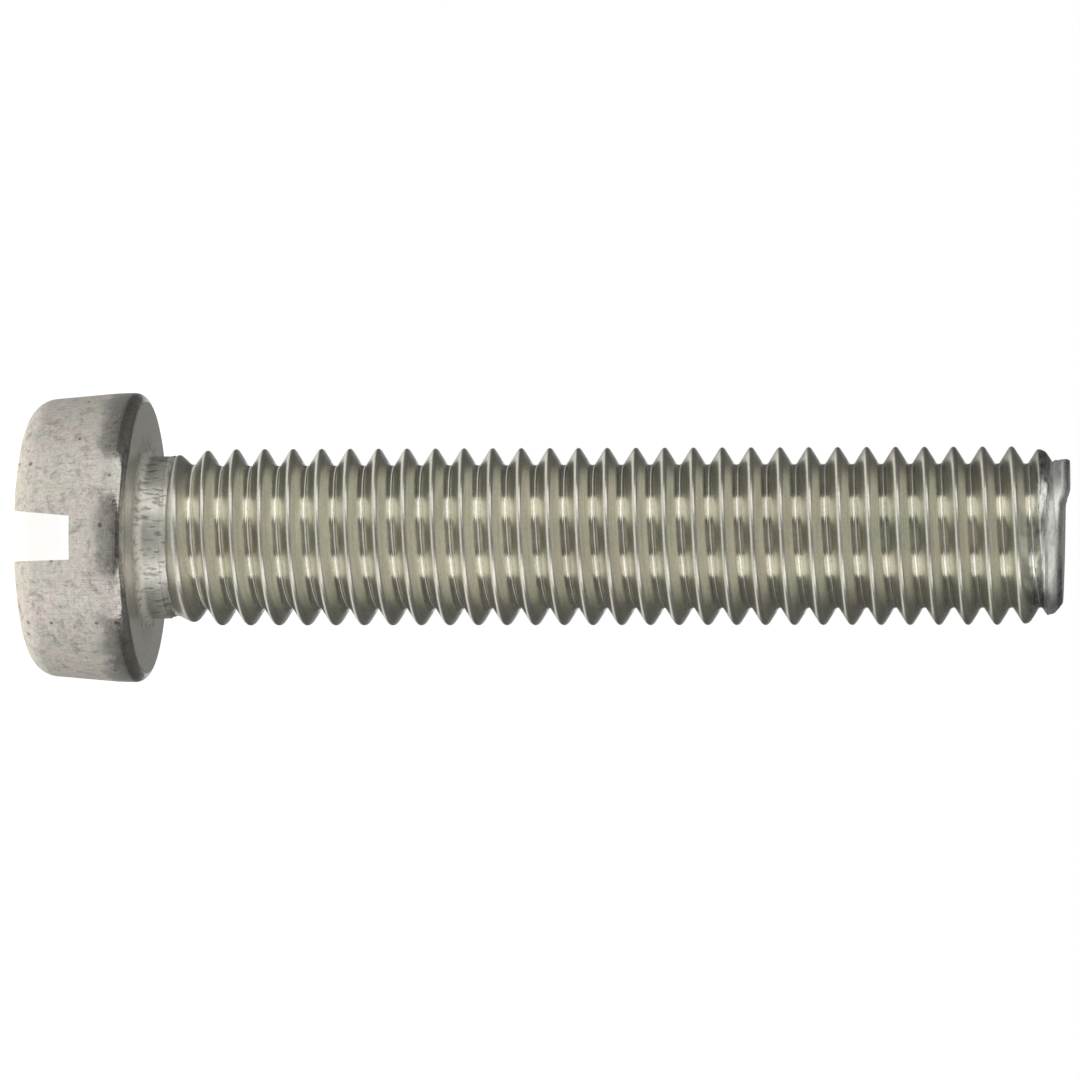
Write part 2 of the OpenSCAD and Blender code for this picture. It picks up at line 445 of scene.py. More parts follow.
THREAD_RULE = [
    # the grid's two ways: the share of a turn round the axis, and the turns up the shank
    ("share", "ADD", "across", 0.5),
    ("up", "ADD", "up", 0.5),
    ("turn", "MULTIPLY", "up", "Turns"),
    ("angle", "MULTIPLY", "share", 2 * math.pi),
    ("cos", "COSINE", "angle"),
    ("sin", "SINE", "angle"),
    # height of the leaning end in this column, lower where the lip isn't
    ("inside", "ADD", "cos", 1.0),
    ("inside", "MULTIPLY", "inside", "Tip Radius"),
    ("lip_end", "ADD", "Lip Reach", "Lip Slope"),
    ("past_lip", "SMOOTHSTEP", "inside", "Lip Reach", "lip_end"),
    ("drop", "MULTIPLY", "inside", "Tip Lean"),
    ("drop", "MULTIPLY_ADD", "past_lip", "Tip Lip", "drop"),
    ("end", "SUBTRACT", "Length", "drop"),
    # crests stand at whole turns, and rows below the start or past the end stay there
    ("offset", "ADD", "share", "Phase"),
    ("offset", "SUBTRACT", "offset", 1.5),
    ("first", "DIVIDE", "Start", "Pitch"),
    ("first", "SUBTRACT", "first", "offset"),
    ("last", "DIVIDE", "end", "Pitch"),
    ("last", "SUBTRACT", "last", "offset"),
    ("kept", "MAXIMUM", "turn", "first"),
    ("kept", "MINIMUM", "kept", "last"),
    ("pitches", "ADD", "kept", "offset"),
    ("z", "MULTIPLY", "pitches", "Pitch"),
    # a groove's section: an arc at its bottom, and straight flanks from where they touch it
    ("away", "PINGPONG", "kept", 0.5),
    ("aside", "SUBTRACT", 0.5, "away"),
    ("aside", "MULTIPLY", "aside", "Pitch"),
    ("in_arc", "MINIMUM", "aside", "Root Reach"),
    ("in_arc", "MULTIPLY", "in_arc", "in_arc"),
    ("round_2", "MULTIPLY", "Root Rounding", "Root Rounding"),
    ("drop_2", "SUBTRACT", "round_2", "in_arc"),
    ("arc", "SQRT", "drop_2"),
    ("arc", "SUBTRACT", "Root Rounding", "arc"),
    ("past_arc", "SUBTRACT", "aside", "Root Reach"),
    ("past_arc", "MAXIMUM", "past_arc", 0.0),
    ("rise", "MULTIPLY_ADD", "past_arc", "Flank Rise", "arc"),
    # flank: 0 on the crest, with its edges rounded, and 1 at the groove's bottom
    ("depth", "SUBTRACT", "Crest Radius", "Root Radius"),
    ("flank", "SUBTRACT", "depth", "rise"),
    ("flank", "DIVIDE", "flank", "depth"),
    ("flank", "SMOOTH_MAX", "flank", 0.0, "Crest Softness"),
    # each crest and each groove has its own height at this angle, and grows over the first turns
    ("crest_p", "ROUND", "kept"),
    ("crest_p", "ADD", "crest_p", "offset"),
    ("crest_end", "ADD", "Crest Start", "Crest Run-in"),
    ("crest_share", "SMOOTHSTEP", "crest_p", "Crest Start", "crest_end"),
    ("crest_h", "SUBTRACT", "Crest Radius", "Core Radius"),
    ("crest", "MULTIPLY_ADD", "crest_share", "crest_h", "Core Radius"),
    ("groove_p", "FLOOR", "kept"),
    ("groove_p", "ADD", "groove_p", 0.5),
    ("groove_p", "ADD", "groove_p", "offset"),
    ("groove_end", "ADD", "Groove Start", "Groove Run-in"),
    ("groove_share", "SMOOTHSTEP", "groove_p", "Groove Start", "groove_end"),
    ("groove_h", "SUBTRACT", "Root Radius", "Core Radius"),
    ("groove", "MULTIPLY_ADD", "groove_share", "groove_h", "Core Radius"),
    ("height", "SUBTRACT", "groove", "crest"),
    ("radius", "MULTIPLY_ADD", "height", "flank", "crest"),
    # the fine ring where the dies began
    ("ring", "SUBTRACT", "z", "Die Mark"),
    ("ring", "ABSOLUTE", "ring"),
    ("ring", "SMOOTHSTEP", "ring", 0.0, MARK_REACH),
    ("ring", "SUBTRACT", 1.0, "ring"),
    ("radius", "MULTIPLY_ADD", "ring", -MARK_DEPTH, "radius"),
    # the tip: smeared metal closes the last groove, an uneven cone takes the last crests off and ends in
    # a short collar with torn streaks, and a small rounding breaks the end's edge
    ("left", "SUBTRACT", "end", "z"),
    ("lump_z", "MULTIPLY", "pitches", LUMPS_ALONG),
    ("lumps", "NOISE", "cos", "sin", "lump_z"),
    ("lumps", "SUBTRACT", "lumps", 0.5),
    ("open", "SUBTRACT", "left", "Tip Smear"),
    ("open", "MAXIMUM", "open", 0.0),
    ("plug", "MULTIPLY_ADD", "open", "Smear Fall", "Tip Radius"),
    ("plug", "MULTIPLY_ADD", "lumps", "Tip Lumps", "plug"),
    ("radius", "SMOOTH_MAX", "radius", "plug", SMEAR_BLEND),
    ("cone", "MULTIPLY_ADD", "left", "Tip Slope", "Tip Radius"),
    ("cone", "MULTIPLY_ADD", "lumps", "Tip Lumps", "cone"),
    ("wider", "ADD", "cos", 1.0),
    ("beyond", "SUBTRACT", "left", "Tip Collar"),
    ("beyond", "MAXIMUM", "beyond", 0.0),
    ("collar", "MULTIPLY_ADD", "wider", COLLAR_OUT, "Tip Radius"),
    ("collar", "MULTIPLY_ADD", "beyond", COLLAR_SLOPE, "collar"),
    ("cone", "SMOOTH_MIN", "cone", "collar", SMEAR_BLEND),
    ("radius", "SMOOTH_MIN", "radius", "cone", CONE_BLEND),
    ("torn_z", "MULTIPLY", "pitches", TORN_ALONG),
    ("torn", "NOISE", "cos", "sin", "torn_z"),
    ("torn", "SUBTRACT", "torn", TORN_LEVEL),
    ("near", "SMOOTHSTEP", "left", TORN_START, TORN_FULL),
    ("torn", "MULTIPLY", "torn", "near"),
    ("radius", "MULTIPLY_ADD", "torn", "Torn Relief", "radius"),
    ("rounding", "ADD", "cos", EDGE_LEAST),
    ("rounding", "MULTIPLY", "rounding", "Tip Edge"),
    ("edge", "SUBTRACT", "radius", "rounding"),
    ("edge", "ADD", "edge", "left"),
    ("radius", "SMOOTH_MIN", "radius", "edge", "rounding"),
    # rows past the end close the end face towards the axis
    ("row", "DIVIDE", 1.0, "Rows"),
    ("spare", "SUBTRACT", "turn", "kept"),
    ("spare", "SUBTRACT", "spare", "row"),
    ("spare", "MAXIMUM", "spare", 0.0),
    ("past", "GREATER_THAN", "turn", "last"),
    ("spare", "MULTIPLY", "spare", "past"),
    ("inward", "MULTIPLY_ADD", "spare", -FACE_IN, 1.0),
    ("inward", "MAXIMUM", "inward", 0.0),
    ("inner", "MULTIPLY", "radius", "inward"),
    ("x", "MULTIPLY", "inner", "cos"),
    ("y", "MULTIPLY", "inner", "sin"),
    ("face_in", "ADD", "x", "Tip Radius"),
    ("face_lip", "SMOOTHSTEP", "face_in", "Lip Reach", "lip_end"),
    ("face_drop", "MULTIPLY", "face_in", "Tip Lean"),
    ("face_drop", "MULTIPLY_ADD", "face_lip", "Tip Lip", "face_drop"),
    ("face_z", "SUBTRACT", "Length", "face_drop"),
    ("on_face", "LESS_THAN", "inward", 1.0),
    ("rise", "SUBTRACT", "face_z", "z"),
    ("z", "MULTIPLY_ADD", "on_face", "rise", "z"),
]


def thread_tree(s):
    """Geometry nodes that roll the thread and close the tip. The grid has two turns more than the shank
    needs, for the rows that stay at the start and those that close the end face."""
    tree = bpy.data.node_groups.new("rolled_thread", "GeometryNodeTree")
    tree.interface.new_socket("Geometry", in_out="INPUT", socket_type="NodeSocketGeometry")
    tree.interface.new_socket("Geometry", in_out="OUTPUT", socket_type="NodeSocketGeometry")
    inputs = {
        "Pitch": s.pitch,
        "Phase": s.phase,
        "Turns": float(math.ceil(s.shank_l / s.pitch + 2)),
        "Crest Radius": s.crest_d / 2,
        "Root Radius": s.root_d / 2,
        "Core Radius": s.neck_d / 2 - s.roll_step,
        "Root Rounding": s.root_round,
        "Root Reach": s.root_round * math.cos(s.flank_slope),
        "Flank Rise": 1 / math.tan(s.flank_slope),
        "Crest Softness": s.crest_soft,
        "Die Mark": s.die_mark,
        "Start": s.neck_l,
        "Length": s.shank_l,
        "Crest Start": s.crest_start,
        "Crest Run-in": s.crest_run,
        "Groove Start": s.groove_start,
        "Groove Run-in": s.groove_run,
        "Tip Radius": s.tip_d / 2,
        "Tip Slope": math.tan(s.tip_cone),
        "Tip Lean": math.tan(s.tip_lean),
        "Tip Edge": s.tip_edge,
        "Tip Collar": s.tip_collar,
        "Torn Relief": s.tip_torn,
        "Tip Smear": s.smear,
        "Smear Fall": -s.smear_fall,
        "Tip Lip": s.tip_lip,
        "Lip Reach": s.lip_reach,
        "Lip Slope": s.lip_slope,
        "Tip Lumps": s.tip_lumps,
        "Columns": s.columns,
        "Rows": s.rows,
    }
    for name, value in inputs.items():
        kind = "NodeSocketInt" if isinstance(value, int) else "NodeSocketFloat"
        socket = tree.interface.new_socket(name, in_out="INPUT", socket_type=kind)
        socket.default_value = value
    tree.interface.new_socket("Material", in_out="INPUT", socket_type="NodeSocketMaterial")
    given = add(tree, "NodeGroupInput", out=None).outputs

    # the grid has one column more than there are faces round the axis, and one row more than along it
    columns = add(tree, "ShaderNodeMath", {0: given["Columns"], 1: 1.0}, operation="ADD")
    rows = add(tree, "ShaderNodeMath", {0: given["Rows"], 1: given["Turns"], 2: 1.0},
               operation="MULTIPLY_ADD")
    grid = add(tree, "GeometryNodeMeshGrid", {
        "Size X": 1.0, "Size Y": 1.0, "Vertices X": columns, "Vertices Y": rows}, out="Mesh")
    place = add(tree, "ShaderNodeSeparateXYZ", {0: add(tree, "GeometryNodeInputPosition")}, out=None)
    known = {name: given[name] for name in inputs}
    known["across"] = place.outputs["X"]
    known["up"] = place.outputs["Y"]
    follow(tree, known, THREAD_RULE)
    point = add(tree, "ShaderNodeCombineXYZ", {0: known["x"], 1: known["y"], 2: known["z"]})
    moved = add(tree, "GeometryNodeSetPosition", {"Geometry": grid, "Position": point})
    merged = add(tree, "GeometryNodeMergeByDistance", {"Geometry": moved, "Distance": MERGE_REACH})
    real = add(tree, "GeometryNodeRealizeInstances", {"Geometry": merged})
    finished = add(tree, "GeometryNodeSetMaterial", {"Geometry": real, "Material": given["Material"]})
    add(tree, "NodeGroupOutput", {0: finished}, out=None)
    return tree


def rolled_thread(s, material):
    """The thread and the tip as a mesh, open where it starts at the neck."""
    carrier = as_object(bmesh.new(), "thread_carrier")
    rule = carrier.modifiers.new("rolled_thread", "NODES")
    rule.node_group = thread_tree(s)
    sockets = {i.name: i.identifier for i in rule.node_group.interface.items_tree if i.in_out == "INPUT"}
    rule[sockets["Material"]] = material
    mesh = evaluated_mesh(carrier, "thread")
    bpy.data.objects.remove(carrier)
    return mesh


def one_screw(s, materials):
    """Head and thread joined into one closed mesh. The materials are for head, neck and thread."""
    bm = slotted_head(s)
    bm.from_mesh(rolled_thread(s, materials[2]))
    bmesh.ops.delete(bm, geom=[v for v in bm.verts if not v.link_faces], context="VERTS")
    bmesh.ops.bridge_loops(bm, edges=[e for e in bm.edges if e.is_boundary])
    bmesh.ops.dissolve_degenerate(bm, dist=TINY, edges=bm.edges)
    bmesh.ops.recalc_face_normals(bm, faces=bm.faces)
    for f in bm.faces:
        f.smooth = True
        z = f.calc_center_median().z
        if z < -RIM_SEAM:
            f.material_index = 0
        elif z < s.die_mark:
            f.material_index = 1
        else:
            f.material_index = 2
    mesh = bpy.data.meshes.new("screw_body")
    bm.to_mesh(mesh)
    open_edges = sum(not e.is_manifold for e in bm.edges)
    bm.free()
    if open_edges:
        raise RuntimeError("the screw's mesh has %d open edges" % open_edges)
    for m in materials:
        mesh.materials.append(m)
    mesh.set_sharp_from_angle(angle=SHARP_ANGLE)
    return mesh


# Materials. Patterns are drawn in millimetres on the object's own coordinates, so a noise's scale is the
# number of its patches in a millimetre.

def steel(name, roughness):
    """A bare metal with its usual roughness, and the tree that its finish is drawn in."""
    material = bpy.data.materials.new(name)
    material.use_nodes = True
    shader = material.node_tree.nodes["Principled BSDF"]
    shader.inputs["Metallic"].default_value = 1.0
    shader.inputs["Roughness"].default_value = roughness
    return material, material.node_tree


def dress(material, colour, shade, rough, relief, strength, deep):
    """Gives a metal its shaded colour, its roughness, and its relief, which is deep mm high."""
    tree = material.node_tree
    shader = tree.nodes["Principled BSDF"]
    shaded = add(tree, "ShaderNodeVectorMath", {0: colour, "Scale": shade}, operation="SCALE")
    bump = add(tree, "ShaderNodeBump", {"Strength": strength, "Distance": deep * MM, "Height": relief})
    for name, socket in (("Base Color", shaded), ("Roughness", rough), ("Normal", bump)):
        tree.links.new(socket, shader.inputs[name])
    return material


def places(tree):
    """Sockets of a point's place in mm and of its height."""
    place = add(tree, "ShaderNodeTexCoord", out="Object")
    mm = add(tree, "ShaderNodeVectorMath", {0: place, "Scale": 1 / MM}, operation="SCALE")
    return mm, add(tree, "ShaderNodeSeparateXYZ", {0: mm}, out="Z")


def from_axis(tree, mm):
    """Sockets of a point's distance from the axis in mm, and of its place without the height."""
    level = add(tree, "ShaderNodeVectorMath", {0: mm, 1: (1, 1, 0)}, operation="MULTIPLY")
    return add(tree, "ShaderNodeVectorMath", {0: level}, out="Value", operation="LENGTH"), level


def drawn_out(tree, mm, counts, detail, roughness=0.5):
    """Noise with its patches drawn out. counts says how many lie in a millimetre along each axis."""
    drawn = add(tree, "ShaderNodeVectorMath", {0: mm, 1: counts}, operation="MULTIPLY")
    return add(tree, "ShaderNodeTexNoise", {
        "Vector": drawn, "Scale": 1.0, "Detail": detail, "Roughness": roughness})


def scratches(tree, mm, counts, width):
    """Fine lines, 1 on the line and 0 beside it: where drawn-out noise is within width of its middle."""
    known = {"noise": drawn_out(tree, mm, counts, 2.0, 0.6)}
    follow(tree, known, [
        ("away", "SUBTRACT", "noise", 0.5),
        ("away", "ABSOLUTE", "away"),
        ("line", "LINEAR", "away", 0.0, width, 1.0, 0.0),
    ])
    return known["line"]


def tumbled_steel(finish):
    """Cold-headed stainless steel, tumbled afterwards: a matte skin with scratches, pits, stains and faint
    tints. Beside the rim the heading die rubbed it smooth, so that it mirrors the room darkly there, and
    that band is also painted darker, as a painted dark reflection."""
    matte, rubbed, grain_rough = 0.56, 0.1, 0.24
    band_painted_shade, rim_shade = 0.57, 1.4
    scratch_dim, pit_dim = 0.32, 0.5
    scratch_deep, pit_deep = 0.5, 1.5
    material, tree = steel("tumbled_headed_stainless", 0.6)
    mm, height = places(tree)
    cell = add(tree, "ShaderNodeTexVoronoi", {"Vector": mm, "Scale": 1.9}, out=None).outputs
    known = {
        "height": height,
        # tints 1.3 mm wide, stains half a millimetre wide, and a grain of 0.2 mm
        "patch": add(tree, "ShaderNodeTexNoise", {"Vector": mm, "Scale": 0.8, "Detail": 3.0}),
        "stain": add(tree, "ShaderNodeTexNoise", {
            "Vector": mm, "Scale": 1.9, "Detail": 4.0, "Roughness": 0.65, "Distortion": 0.6}),
        "grain": add(tree, "ShaderNodeTexNoise", {
            "Vector": mm, "Scale": 6.0, "Detail": 3.0, "Roughness": 0.7}),
        # fine scratches along the axis and round it, 2 to 3 mm long
        "along": scratches(tree, mm, (7.0, 7.0, 0.35), 0.016),
        "around": scratches(tree, mm, (0.5, 0.5, 9.0), 0.01),
        "from_middle": cell["Distance"],
        "pick": add(tree, "ShaderNodeSeparateColor", {0: cell["Color"]}),
    }
    follow(tree, known, [
        ("tint", "LINEAR", "patch", 0.42, 0.58),
        ("shade", "LINEAR", "grain", 0.3, 0.7, 0.86, 1.14),
        ("stained", "LINEAR", "stain", 0.52, 0.68, 1.03, 0.72),
        ("shade", "MULTIPLY", "shade", "stained"),
        ("lines", "MAXIMUM", "along", "around"),
        ("shade", "MULTIPLY_ADD", "lines", -scratch_dim, "shade"),
        # pits up to 0.2 mm wide: a cell's middle, where its own random number picks it
        ("size", "LINEAR", "pick", 0.5, 1.0, 0.0, 0.2),
        ("pit", "LESS_THAN", "from_middle", "size"),
        ("shade", "MULTIPLY_ADD", "pit", -pit_dim, "shade"),
        # the rubbed band beside the rim, with an uneven edge: smoother, and painted darker as a dark
        # reflection
        ("uneven", "MULTIPLY_ADD", "patch", 1.6, "height"),
        ("uneven", "MULTIPLY_ADD", "grain", 0.8, "uneven"),
        ("band", "SMOOTHSTEP", "uneven", -0.35, 0.25),
        ("rough", "LINEAR", "band", 0.0, 1.0, matte, rubbed),
        ("rough", "MULTIPLY_ADD", "grain", grain_rough, "rough"),
        ("rough", "SUBTRACT", "rough", grain_rough / 2),
        # painted shade: the band's colour is darkened to stand for the dark room that it mirrors
        ("darker", "LINEAR", "band", 0.0, 1.0, 1.0, band_painted_shade),
        ("shade", "MULTIPLY", "shade", "darker"),
        # wear shows paler on the rim itself
        ("rim", "LINEAR", "height", -0.3, -0.12, 1.0, rim_shade),
        ("shade", "MULTIPLY", "shade", "rim"),
        ("relief", "MULTIPLY_ADD", "lines", -scratch_deep, "grain"),
        ("relief", "MULTIPLY_ADD", "pit", -pit_deep, "relief"),
        ("strength", "LINEAR", "band", 0.0, 1.0, 0.5, 0.15),
    ])
    colour = add(tree, "ShaderNodeMix", {0: known["tint"], 6: finish.headed, 7: finish.headed_pale},
                 out=2, data_type="RGBA")
    return dress(material, colour, known["shade"], known["rough"], known["relief"], known["strength"], 0.03)


def pressed_steel(finish):
    """Stainless steel pressed in the heading die: an even bearing face with broad dark patches of painted
    shade round the neck, small dents on the neck, and a rougher fillet painted paler as a highlight."""
    even_rough, fillet_rough = 0.42, 0.7
    fillet_highlight, dent_dim, painted_shade_dim = 0.3, 0.45, 0.3
    material, tree = steel("pressed_stainless", even_rough)
    mm, height = places(tree)
    radius, _ = from_axis(tree, mm)
    known = {
        "height": height,
        "radius": radius,
        "grain": add(tree, "ShaderNodeTexNoise", {"Vector": mm, "Scale": 4.0, "Detail": 3.0}),
        # dents are drawn out along the axis and stand about 0.4 mm apart
        "dent": drawn_out(tree, mm, (4.6, 4.6, 1.7), 3.0),
        "patch": add(tree, "ShaderNodeTexNoise", {"Vector": mm, "Scale": 1.1}),
    }
    follow(tree, known, [
        ("shade", "LINEAR", "grain", 0.3, 0.7, 0.9, 1.05),
        ("on_neck", "LINEAR", "radius", 3.75, 4.15, 1.0, 0.0),
        ("near", "LINEAR", "radius", 3.9, 4.7, 1.0, 0.0),
        # painted highlight: the fillet's colour is made paler, standing for a bright reflection
        ("fillet", "LINEAR", "height", 0.4, 0.2, 0.0, fillet_highlight),
        ("fillet", "MULTIPLY", "fillet", "on_neck"),
        ("shade", "ADD", "shade", "fillet"),
        ("rough", "MULTIPLY_ADD", "fillet", fillet_rough, even_rough),
        # dents on the neck and close beside it
        ("dent", "SMOOTHSTEP", "dent", 0.5, 0.66),
        ("dent", "MULTIPLY", "dent", "near"),
        ("shade", "MULTIPLY_ADD", "dent", -dent_dim, "shade"),
        ("relief", "MULTIPLY_ADD", "dent", -1.0, "grain"),
        # painted shade: broad dark patches on the bearing face in the corner round the neck
        ("patch", "LINEAR", "patch", 0.46, 0.62, 0.0, painted_shade_dim),
        ("beside", "SUBTRACT", "near", "on_neck"),
        ("beside", "MAXIMUM", "beside", 0.0),
        ("patch", "MULTIPLY", "patch", "beside"),
        ("shade", "SUBTRACT", "shade", "patch"),
    ])
    return dress(material, finish.pressed[:3], known["shade"], known["rough"], known["relief"], 0.35, 0.03)


def burnished_steel(finish, s):
    """Rolled stainless steel: the dies press the flanks smooth, with fine streaks along the groove. The
    sheared tip is pale and rougher, with torn streaks and a dark edge, a painted highlight on its collar,
    and painted shade on its sides along x."""
    groove_rough, crest_rough, tip_rough, collar_rough = 0.14, 0.3, 0.07, 0.2
    torn_dark, side_shade_dark, edge_dark, darkest = 0.5, 0.42, 0.56, 0.62
    collar_highlight, face_pale = 0.14, 0.2
    lip_reach, lip_end = s.lip_reach / MM, (s.lip_reach + s.lip_slope) / MM
    lip_height, face_height = s.shank_l / MM, (s.shank_l - s.tip_lip) / MM
    root_r = s.root_d / MM / 2
    material, tree = steel("burnished_rolled_stainless", crest_rough)
    mm, height = places(tree)
    radius, level = from_axis(tree, mm)
    # streaks depend on the radius, about 0.15 mm for each, so that they run along the groove
    way = add(tree, "ShaderNodeVectorMath", {0: level}, operation="NORMALIZE")
    tall = add(tree, "ShaderNodeVectorMath", {0: mm, 1: (0, 0, 0.3)}, operation="MULTIPLY")
    slow = add(tree, "ShaderNodeVectorMath", {0: way, 1: (1.3, 1.3, 0), 2: tall}, operation="MULTIPLY_ADD")
    deep = add(tree, "ShaderNodeMath", {0: radius, 1: 7.0}, operation="MULTIPLY")
    known = {
        "x": add(tree, "ShaderNodeSeparateXYZ", {0: mm}, out="X"),
        "height": height,
        "radius": radius,
        "streak": add(tree, "ShaderNodeTexNoise", {
            "Vector": slow, "W": deep, "Scale": 1.0, "Detail": 3.0, "Roughness": 0.6},
            noise_dimensions="4D"),
        "across": drawn_out(tree, mm, (0.6, 4.0, 0.6), 4.0),
        "hue": add(tree, "ShaderNodeTexNoise", {"Vector": slow, "Scale": 1.2, "Detail": 1.0}),
        "grain": add(tree, "ShaderNodeTexNoise", {
            "Vector": mm, "Scale": 7.0, "Detail": 3.0, "Roughness": 0.7}),
        "torn": drawn_out(tree, mm, (0.9, 0.9, 5.5), 3.0, 0.6),
    }
    follow(tree, known, [
        # how far the leaning end is from a point, in mm
        ("inside", "ADD", "x", s.tip_d / MM / 2),
        ("end", "SMOOTHSTEP", "inside", lip_reach, lip_end, lip_height, face_height),
        ("end", "MULTIPLY_ADD", "inside", -math.tan(s.tip_lean), "end"),
        ("left", "SUBTRACT", "end", "height"),
        ("tip", "SMOOTHSTEP", "left", 1.6, 1.0),
        ("collar", "SMOOTHSTEP", "left", 0.85, 0.6),
        ("edge", "SMOOTHSTEP", "left", 0.27, 0.12),
        # the end face has the shear's marks across it, 0.25 mm apart, and no streaks round it
        ("streak", "MIX", "edge", "streak", "across"),
        ("hue", "LINEAR", "hue", 0.42, 0.6),
        ("shade", "LINEAR", "streak", 0.3, 0.7, 0.78, 1.1),
        ("grain", "SUBTRACT", "grain", 0.5),
        ("shade", "MULTIPLY_ADD", "grain", 0.5, "shade"),
        # dark torn streaks round the tip, 0.2 mm high, fewer on the collar, a painted highlight that makes
        # the collar paler, and the dark edge
        ("torn", "LINEAR", "torn", 0.47, 0.56, 0.0, torn_dark),
        ("torn", "MULTIPLY", "torn", "tip"),
        ("fewer", "LINEAR", "collar", 0.0, 1.0, 1.0, 0.3),
        ("torn", "MULTIPLY", "torn", "fewer"),
        # painted highlight: the collar is made paler
        ("torn", "MULTIPLY_ADD", "collar", -collar_highlight, "torn"),
        ("torn", "MULTIPLY_ADD", "edge", edge_dark, "torn"),
        # painted shade: both sides along x are darker, and on the collar the +x side alone
        ("side", "ABSOLUTE", "x"),
        ("side", "MIX", "collar", "side", "x"),
        ("side_shade", "SMOOTHSTEP", "side", 2.1, 3.0, 0.0, side_shade_dark),
        ("torn", "MULTIPLY_ADD", "side_shade", "tip", "torn"),
        ("torn", "MINIMUM", "torn", darkest),
        ("face", "LINEAR", "left", 0.04, 0.0, 0.0, -face_pale),
        ("torn", "ADD", "torn", "face"),
        ("shade", "SUBTRACT", "shade", "torn"),
        # the groove's bottom is the smoothest, and the sheared tip is rough
        ("rough", "SMOOTHSTEP", "radius", root_r + 0.06, root_r + 0.26, groove_rough, crest_rough),
        ("rough", "MULTIPLY_ADD", "tip", tip_rough, "rough"),
        ("rough", "MULTIPLY_ADD", "collar", collar_rough, "rough"),
        ("rough", "MULTIPLY_ADD", "streak", 0.16, "rough"),
        ("rough", "SUBTRACT", "rough", 0.06),
    ])
    colour = add(tree, "ShaderNodeMix", {0: known["hue"], 6: finish.rolled, 7: finish.rolled_warm},
                 out=2, data_type="RGBA")
    colour = add(tree, "ShaderNodeMix", {0: known["tip"], 6: colour, 7: finish.sheared},
                 out=2, data_type="RGBA")
    return dress(material, colour, known["shade"], known["rough"], known["streak"], 0.35, 0.02)


# Stage. Its lengths are in metres.

# the photograph shows the tip nearer the camera by the first angle, and the screw turned by the second
TIP_NEAR = 0.10179
ROLL = 0.00212
# where the bearing face's centre lies in it, in pixels, and the sensor's width in millimetres
FACE_ACROSS = 147.4
FACE_DOWN = 537.5
SENSOR_W = 36
CLIP_START = 0.01
CLIP_END = 50
FLOOR_HALF = 6.0
# the softboxes stand to the left and right in front of the screw, and one hangs overhead
LAMP_MIDDLE = (0, 0, 17 * MM)
LAMP_FAR = 0.32
LAMP_TURN = 49 * DEG
LAMP_UP = 0.12
LAMP_SIZE = (0.22, 0.4)
TOP_PLACE = (0, -0.05, 0.5)
TOP_SIZE = (0.4, 0.4)
# brightness of the paper to the camera, of the painted pool of light that the metal sees on it, and of the
# backdrop to the metal
PAPER_SEEN = 0.8
PAINTED_POOL_LEVEL = 0.62
BACKDROP_LEVEL = 0.7
WHITE = (1, 1, 1, 1)


def camera_frame(distance, lens_px):
    """The photograph's camera: the place of the bearing face in its view, and the screw's turn."""
    axis = Vector((math.cos(TIP_NEAR) * math.cos(ROLL), math.cos(TIP_NEAR) * math.sin(ROLL),
                   math.sin(TIP_NEAR)))
    up = Vector((-math.sin(ROLL), math.cos(ROLL), 0))
    near = axis.cross(up)
    turn = Matrix((-up, -near, axis))
    centre = Vector(((FACE_ACROSS - IMAGE_W / 2) * distance / lens_px,
                     (IMAGE_W / 2 - FACE_DOWN) * distance / lens_px, -distance))
    matrix = turn.to_4x4()
    matrix.translation = turn @ -centre
    return matrix


def white_paper(studio):
    """Matte paper, plain white in the picture apart from the screw's shadow. The metal sees a painted pool
    of light on it, white round the screw and dimmer further out."""
    paper = bpy.data.materials.new("white_paper")
    paper.use_nodes = True
    tree = paper.node_tree
    shader = tree.nodes["Principled BSDF"]
    shader.inputs["Base Color"].default_value = studio.floor
    shader.inputs["Roughness"].default_value = 0.9
    shader.inputs["Emission Color"].default_value = WHITE
    path = add(tree, "ShaderNodeLightPath", out=None).outputs
    place = add(tree, "ShaderNodeTexCoord", out="Object")
    known = {
        "camera": path["Is Camera Ray"],
        "glossy": path["Is Glossy Ray"],
        "far": add(tree, "ShaderNodeVectorMath", {0: place}, out="Value", operation="LENGTH"),
        "low": add(tree, "ShaderNodeLayerWeight", {"Blend": 0.5}, out="Facing"),
    }
    follow(tree, known, [
        # painted pool of light: a glow round the screw that only glossy rays see
        ("painted_pool", "SMOOTHSTEP", "far", studio.pool * 0.7, studio.pool * 1.3, PAINTED_POOL_LEVEL, 0.0),
        ("mirrored", "MULTIPLY", "glossy", "painted_pool"),
        ("seen", "MULTIPLY_ADD", "camera", PAPER_SEEN, "mirrored"),
        # at a low angle the satin sheet mirrors the room, which only the metal sees
        ("sheen", "SMOOTHSTEP", "low", 0.55, 0.95),
        ("sheen", "MULTIPLY", "sheen", "glossy"),
        # further out than the shadow reaches, the camera sees it purely white
        ("white", "SMOOTHSTEP", "far", 0.03, 0.16),
        ("white", "MULTIPLY", "white", "camera"),
    ])
    tree.links.new(known["seen"], shader.inputs["Emission Strength"])
    satin = add(tree, "ShaderNodeBsdfGlossy", {"Color": WHITE, "Roughness": 0.2})
    sheet = add(tree, "ShaderNodeMixShader", {0: known["sheen"], 1: shader.outputs[0], 2: satin})
    white = add(tree, "ShaderNodeEmission", {"Color": WHITE, "Strength": 1.0})
    whole = add(tree, "ShaderNodeMixShader", {0: known["white"], 1: sheet, 2: white})
    tree.links.new(whole, tree.nodes["Material Output"].inputs["Surface"])
    return paper


